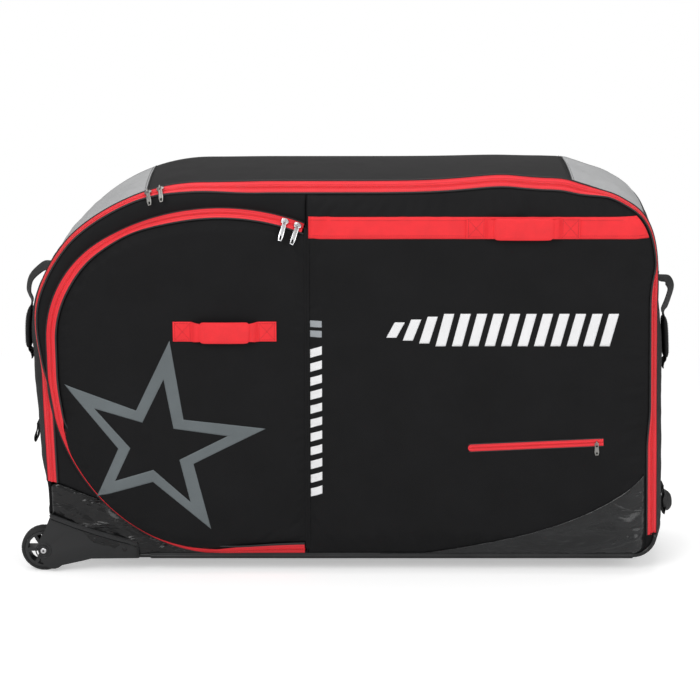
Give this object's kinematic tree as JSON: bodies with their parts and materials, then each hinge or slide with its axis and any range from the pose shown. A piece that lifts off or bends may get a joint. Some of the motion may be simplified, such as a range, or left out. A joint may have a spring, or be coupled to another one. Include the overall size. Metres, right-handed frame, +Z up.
{
  "type": "soft bike travel bag",
  "caption": "Padded soft case for a bicycle, with a zipped front flap, a round zipped wheel pocket, carry handles, end handles and wheels in moulded housings at one end.",
  "frame": {"origin": "centre of the overall box at floor level, under the wheels", "axes": "+X along the bag towards the end without wheels, +Y towards the back panel, +Z up"},
  "size_m": [1.3774, 0.321, 0.8469],
  "materials": {
    "black_fabric": "woven",
    "red_webbing": "woven",
    "red_tape": "woven",
    "grey_coated": "coated",
    "black_coated": "coated, glossy",
    "black_webbing": "woven",
    "plastic": "moulded",
    "rubber": "matt",
    "silver": "plated",
    "gunmetal": "dark plated",
    "lining": "plain"
  },
  "bodies": {
    "shell": {"axle_front": "silver", "axle_rear": "silver", "back_binding": "black_webbing", "back_panel": "black_fabric", "base_board": "plastic", "base_tub": "black_coated", "corner_patch_left": "black_coated", "end_grip_left": "black_fabric", "end_grip_right": "black_fabric", "end_strap_left": "black_webbing", "end_strap_right": "black_webbing", "end_tab_left": "black_webbing", "end_tab_right": "black_webbing", "gusset_corner_left": "grey_coated", "gusset_corner_right": "grey_coated", "gusset_end_left": "black_fabric", "gusset_end_right": "black_fabric", "gusset_top": "black_fabric", "housing_rivet_front": "silver", "housing_rivet_rear": "silver", "main_zip_tape_case": "red_tape", "tie_buckle_left": "plastic", "tie_buckle_right": "plastic", "tie_strap_left": "black_webbing", "tie_strap_right": "black_webbing", "wheel_housing_front": "plastic", "wheel_housing_rear": "plastic"},
    "flap": {"front_panel_right": "black_fabric", "front_panel_rim": "black_fabric", "main_zip_tape_flap": "red_tape", "pocket_zip_tape_flap": "red_tape", "wheel_pocket_liner": "lining", "webbing_band": "red_webbing", "band_handle_strap": "red_webbing", "band_handle_grip": "red_webbing", "small_pocket_zip": "red_tape", "small_pocket_pouch": "lining", "corner_patch_right": "black_coated"},
    "pocket_door": {"pocket_door_panel": "black_fabric", "pocket_zip_tape_door": "red_tape", "door_handle_strap": "red_webbing", "door_handle_grip": "red_webbing"},
    "wheel_front": {"wheel_tyre_front": "rubber", "wheel_rim_front": "plastic"},
    "wheel_rear": {"wheel_tyre_rear": "rubber", "wheel_rim_rear": "plastic"},
    "main_left_slider": {"main_left_slider": "gunmetal"},
    "main_left_pull": {"main_left_pull": "gunmetal"},
    "main_right_slider": {"main_right_slider": "gunmetal"},
    "main_right_pull": {"main_right_pull": "gunmetal"},
    "pocket_left_slider": {"pocket_left_slider": "silver"},
    "pocket_left_pull": {"pocket_left_pull": "silver"},
    "pocket_right_slider": {"pocket_right_slider": "silver"},
    "pocket_right_pull": {"pocket_right_pull": "silver"},
    "small_slider": {"small_slider": "gunmetal"},
    "small_pull": {"small_pull": "gunmetal"}
  },
  "joints": [
    {"name": "wheel_front_spin", "type": "hinge", "parent": "shell", "child": "wheel_front", "pos_m": [-0.645, -0.1083, 0.0485], "axis": [0, 1, 0], "continuous": true},
    {"name": "wheel_rear_spin", "type": "hinge", "parent": "shell", "child": "wheel_rear", "pos_m": [-0.621, 0.1356, 0.0485], "axis": [0, 1, 0], "continuous": true},
    {"name": "flap_fold", "type": "hinge", "parent": "shell", "child": "flap", "pos_m": [0, -0.139, 0.0395], "axis": [1, 0, 0], "range_deg": [0, 85]},
    {"name": "pocket_door_fold", "type": "hinge", "parent": "flap", "child": "pocket_door", "pos_m": [-0.088, -0.139, 0.4305], "axis": [0, 0, 1], "range_deg": [0, 100]},
    {"name": "main_left_travel", "type": "hinge", "parent": "flap", "child": "main_left_slider", "pos_m": [-0.299, -0.11278, 0.4875], "axis": [0, 1, 0], "range_deg": [-65, 0]},
    {"name": "main_right_travel", "type": "hinge", "parent": "flap", "child": "main_right_slider", "pos_m": [-0.299, -0.11278, 0.4875], "axis": [0, 1, 0], "range_deg": [0, 13]},
    {"name": "pocket_left_travel", "type": "hinge", "parent": "pocket_door", "child": "pocket_left_slider", "pos_m": [-0.262, -0.132, 0.3105], "axis": [0, 1, 0], "range_deg": [-45, 0]},
    {"name": "pocket_right_travel", "type": "hinge", "parent": "pocket_door", "child": "pocket_right_slider", "pos_m": [-0.262, -0.132, 0.3105], "axis": [0, 1, 0], "range_deg": [-1.2, 0]},
    {"name": "small_travel", "type": "slide", "parent": "flap", "child": "small_slider", "axis": [0.9989, 0, 0.046], "range_m": [-0.252, 0]},
    {"name": "main_left_pull_swing", "type": "hinge", "parent": "main_left_slider", "child": "main_left_pull", "pos_m": [-0.40843, -0.11545, 0.81456], "axis": [0.9483, 0, 0.3173], "range_deg": [-120, 0]},
    {"name": "main_right_pull_swing", "type": "hinge", "parent": "main_right_slider", "child": "main_right_pull", "pos_m": [-0.38328, -0.11545, 0.82193], "axis": [0.9697, 0, 0.2444], "range_deg": [-120, 0]},
    {"name": "pocket_left_pull_swing", "type": "hinge", "parent": "pocket_left_slider", "child": "pocket_left_pull", "pos_m": [-0.1305, -0.13802, 0.75804], "axis": [0.9594, 0, -0.2819], "range_deg": [-120, 0]},
    {"name": "pocket_right_pull_swing", "type": "hinge", "parent": "pocket_right_slider", "child": "pocket_right_pull", "pos_m": [-0.10469, -0.13802, 0.74963], "axis": [0.9414, 0, -0.3372], "range_deg": [-120, 0]},
    {"name": "small_pull_swing", "type": "hinge", "parent": "small_slider", "child": "small_pull", "pos_m": [0.50987, -0.1461, 0.29029], "axis": [0.9989, 0, 0.046], "range_deg": [-120, 0]}
  ]
}
